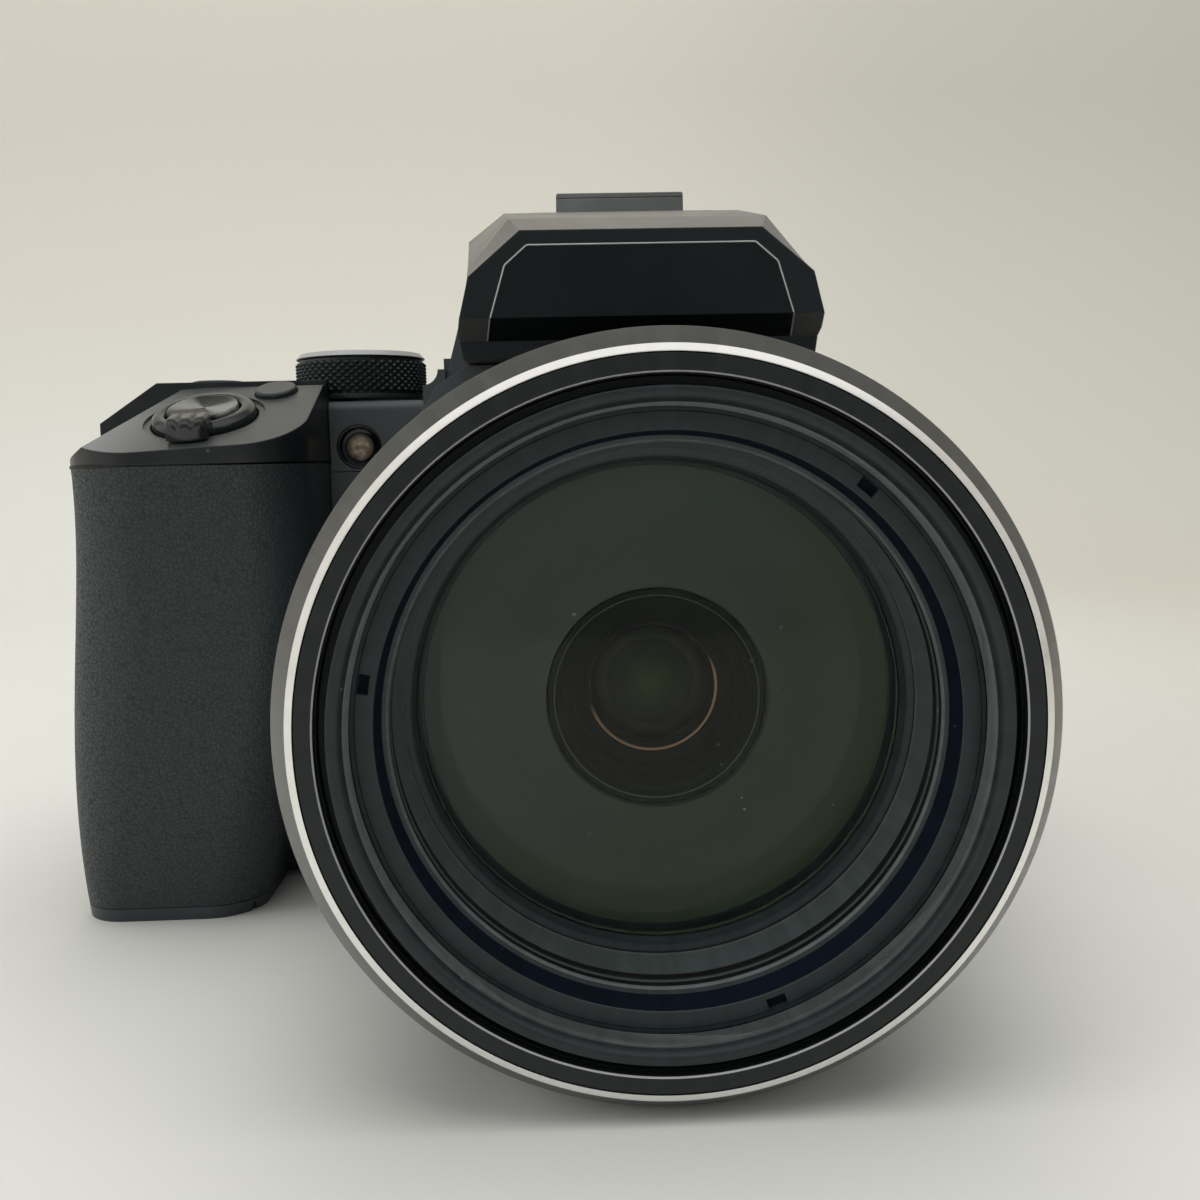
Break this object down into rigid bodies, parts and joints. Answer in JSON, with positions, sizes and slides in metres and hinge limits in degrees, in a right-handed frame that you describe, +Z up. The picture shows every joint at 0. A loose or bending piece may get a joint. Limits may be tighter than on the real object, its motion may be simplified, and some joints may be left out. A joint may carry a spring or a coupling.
{
  "type": "bridge camera",
  "caption": "Long-zoom bridge camera with a large telescoping lens, deep grip, viewfinder hump with hinged flash, mode dial, accessory shoe and swing-out monitor.",
  "frame": {"origin": "mouth of the tripod socket in the base plane, under the lens axis", "axes": "-Y is where the lens points, +X is the viewer's left hand side, +Z is up; the camera stands on Z = 0"},
  "size_m": [0.1458, 0.15, 0.111],
  "materials": {
    "satin_black": "satin",
    "gloss_black": "gloss",
    "barrel_black": "fine matte",
    "rubber_black": "leather grain",
    "satin_grey_metal": "satin with polished chamfer",
    "shoe_metal": "black plated",
    "steel": "brushed",
    "brass_thread": "turned",
    "copper_trim": "satin",
    "lens_glass": "coated",
    "screen_glass": "gloss",
    "lamp_amber": "clear amber",
    "diffuser": "ribbed",
    "board_green": "solder mask",
    "battery_grey": "label wrap"
  },
  "bodies": {
    "body": {"front_cover": "satin_black", "rear_cover": "satin_black", "top_cover": "satin_black", "bottom_cover": "satin_black", "grip_frame": "satin_black", "grip_cap": "satin_black", "connector_block": "satin_black", "fixed_barrel": "barrel_black", "face_ring": "barrel_black", "lens_housing": "barrel_black", "grip_rubber": "rubber_black", "thumb_rest": "rubber_black", "eyecup": "rubber_black", "front_ring": "satin_grey_metal", "accessory_shoe": "shoe_metal", "strap_lugs": "steel", "housing_screws": "steel", "tripod_bush": "brass_thread", "rear_lens": "lens_glass", "eyepiece_lens": "lens_glass", "viewfinder_display": "screen_glass", "assist_lamp": "lamp_amber", "main_board": "board_green", "image_sensor": "board_green", "battery": "battery_grey"},
    "middle_barrel": {"middle_barrel": "barrel_black"},
    "front_barrel": {"front_barrel": "barrel_black", "lens_bezel": "barrel_black", "front_lens": "lens_glass", "front_cell": "barrel_black"},
    "zoom_group": {"zoom_cell": "barrel_black", "trim_ring": "copper_trim", "zoom_lens": "lens_glass"},
    "flash": {"flash_head": "satin_black", "flash_panel": "gloss_black", "flash_window": "diffuser", "flash_lamp": "diffuser"},
    "flash_button": {"flash_button": "satin_black"},
    "shoe_cover": {"shoe_cover": "satin_black"},
    "diopter_dial": {"diopter_dial": "satin_black"},
    "mode_dial": {"mode_dial": "satin_black"},
    "command_dial": {"command_dial": "satin_black"},
    "power_button": {"power_button": "satin_black"},
    "function_button": {"function_button": "satin_black"},
    "shutter_button": {"shutter_button": "satin_black"},
    "zoom_lever": {"zoom_lever": "satin_black"},
    "snap_button": {"snap_button": "satin_black"},
    "zoom_rocker": {"zoom_rocker": "satin_black"},
    "side_dial": {"side_dial": "satin_black"},
    "connector_cover": {"connector_cover": "satin_black"},
    "monitor": {"monitor": "satin_black", "monitor_screen": "screen_glass", "monitor_hinge": "satin_black"},
    "battery_door": {"battery_door": "satin_black"},
    "record_button": {"record_button": "satin_black"},
    "play_button": {"play_button": "satin_black"},
    "menu_button": {"menu_button": "satin_black"},
    "delete_button": {"delete_button": "satin_black"},
    "selector_ring": {"selector_ring": "satin_black"},
    "selector_button": {"selector_button": "satin_black"}
  },
  "joints": [
    {"name": "zoom_stage_one", "type": "slide", "parent": "body", "child": "middle_barrel", "axis": [0, -1, 0], "range_m": [0, 0.046]},
    {"name": "zoom_stage_two", "type": "slide", "parent": "middle_barrel", "child": "front_barrel", "axis": [0, -1, 0], "range_m": [0, 0.046]},
    {"name": "zoom_group_slide", "type": "slide", "parent": "body", "child": "zoom_group", "axis": [0, -1, 0], "range_m": [0, 0.0184]},
    {"name": "flash_hinge", "type": "hinge", "parent": "body", "child": "flash", "pos_m": [0, -0.028, 0.1048], "axis": [-1, 0, 0], "range_deg": [0, 55]},
    {"name": "flash_button_press", "type": "slide", "parent": "body", "child": "flash_button", "axis": [-1, 0, 0], "range_m": [0, 0.0005], "stiffness_N_per_m": 150},
    {"name": "shoe_cover_slide", "type": "slide", "parent": "body", "child": "shoe_cover", "axis": [0, 1, 0], "range_m": [0, 0.0216]},
    {"name": "diopter_turn", "type": "hinge", "parent": "body", "child": "diopter_dial", "pos_m": [0.024, 0.024, 0.095], "axis": [1, 0, 0], "range_deg": [-60, 60]},
    {"name": "mode_dial_turn", "type": "hinge", "parent": "body", "child": "mode_dial", "pos_m": [-0.0428, -0.0143, 0.084], "axis": [0, 0, 1], "continuous": true},
    {"name": "command_dial_turn", "type": "hinge", "parent": "body", "child": "command_dial", "pos_m": [-0.066, 0.022, 0.08], "axis": [0, 0, 1], "continuous": true},
    {"name": "power_button_press", "type": "slide", "parent": "body", "child": "power_button", "axis": [0, 0, -1], "range_m": [0, 0.0005], "stiffness_N_per_m": 150},
    {"name": "function_button_press", "type": "slide", "parent": "body", "child": "function_button", "axis": [0.0471, 0.3887, -0.9202], "range_m": [0, 0.0005], "stiffness_N_per_m": 150},
    {"name": "shutter_button_press", "type": "slide", "parent": "body", "child": "shutter_button", "axis": [0.0471, 0.3887, -0.9202], "range_m": [0, 0.0008], "stiffness_N_per_m": 120},
    {"name": "zoom_lever_turn", "type": "hinge", "parent": "body", "child": "zoom_lever", "pos_m": [-0.0622, -0.0382, 0.07696], "axis": [-0.0471, -0.3887, 0.9202], "range_deg": [-20, 20], "stiffness_Nm_per_rad": 0.02},
    {"name": "snap_button_press", "type": "slide", "parent": "body", "child": "snap_button", "axis": [-1, 0, 0], "range_m": [0, 0.0005], "stiffness_N_per_m": 150},
    {"name": "zoom_rocker_tilt", "type": "hinge", "parent": "body", "child": "zoom_rocker", "pos_m": [0.0445, -0.05, 0.049], "axis": [0, 0, 1], "range_deg": [-6, 6], "stiffness_Nm_per_rad": 0.02},
    {"name": "side_dial_turn", "type": "hinge", "parent": "body", "child": "side_dial", "pos_m": [0.0445, -0.041, 0.0365], "axis": [1, 0, 0], "continuous": true},
    {"name": "connector_cover_hinge", "type": "hinge", "parent": "body", "child": "connector_cover", "pos_m": [0.055, -0.0132, 0.037], "axis": [0, 0, -1], "range_deg": [0, 100]},
    {"name": "monitor_swing", "type": "hinge", "parent": "body", "child": "monitor", "pos_m": [0.0515, 0.0314, 0.037], "axis": [0, 0, -1], "range_deg": [0, 170]},
    {"name": "battery_door_hinge", "type": "hinge", "parent": "body", "child": "battery_door", "pos_m": [-0.0614, -0.016, 0.0012], "axis": [0, -1, 0], "range_deg": [0, 95]},
    {"name": "record_button_press", "type": "slide", "parent": "body", "child": "record_button", "axis": [0, -1, 0], "range_m": [0, 0.0005], "stiffness_N_per_m": 150},
    {"name": "play_button_press", "type": "slide", "parent": "body", "child": "play_button", "axis": [0, -1, 0], "range_m": [0, 0.0005], "stiffness_N_per_m": 150},
    {"name": "menu_button_press", "type": "slide", "parent": "body", "child": "menu_button", "axis": [0, -1, 0], "range_m": [0, 0.0005], "stiffness_N_per_m": 150},
    {"name": "delete_button_press", "type": "slide", "parent": "body", "child": "delete_button", "axis": [0, -1, 0], "range_m": [0, 0.0005], "stiffness_N_per_m": 150},
    {"name": "selector_ring_turn", "type": "hinge", "parent": "body", "child": "selector_ring", "pos_m": [-0.052, 0.034, 0.031], "axis": [0, 1, 0], "continuous": true},
    {"name": "selector_button_press", "type": "slide", "parent": "body", "child": "selector_button", "axis": [0, -1, 0], "range_m": [0, 0.0005], "stiffness_N_per_m": 150}
  ],
  "couplings": [
    {"joint": "zoom_stage_two", "follows": "zoom_stage_one", "ratio": 1},
    {"joint": "zoom_group_slide", "follows": "zoom_stage_one", "ratio": 0.4}
  ]
}
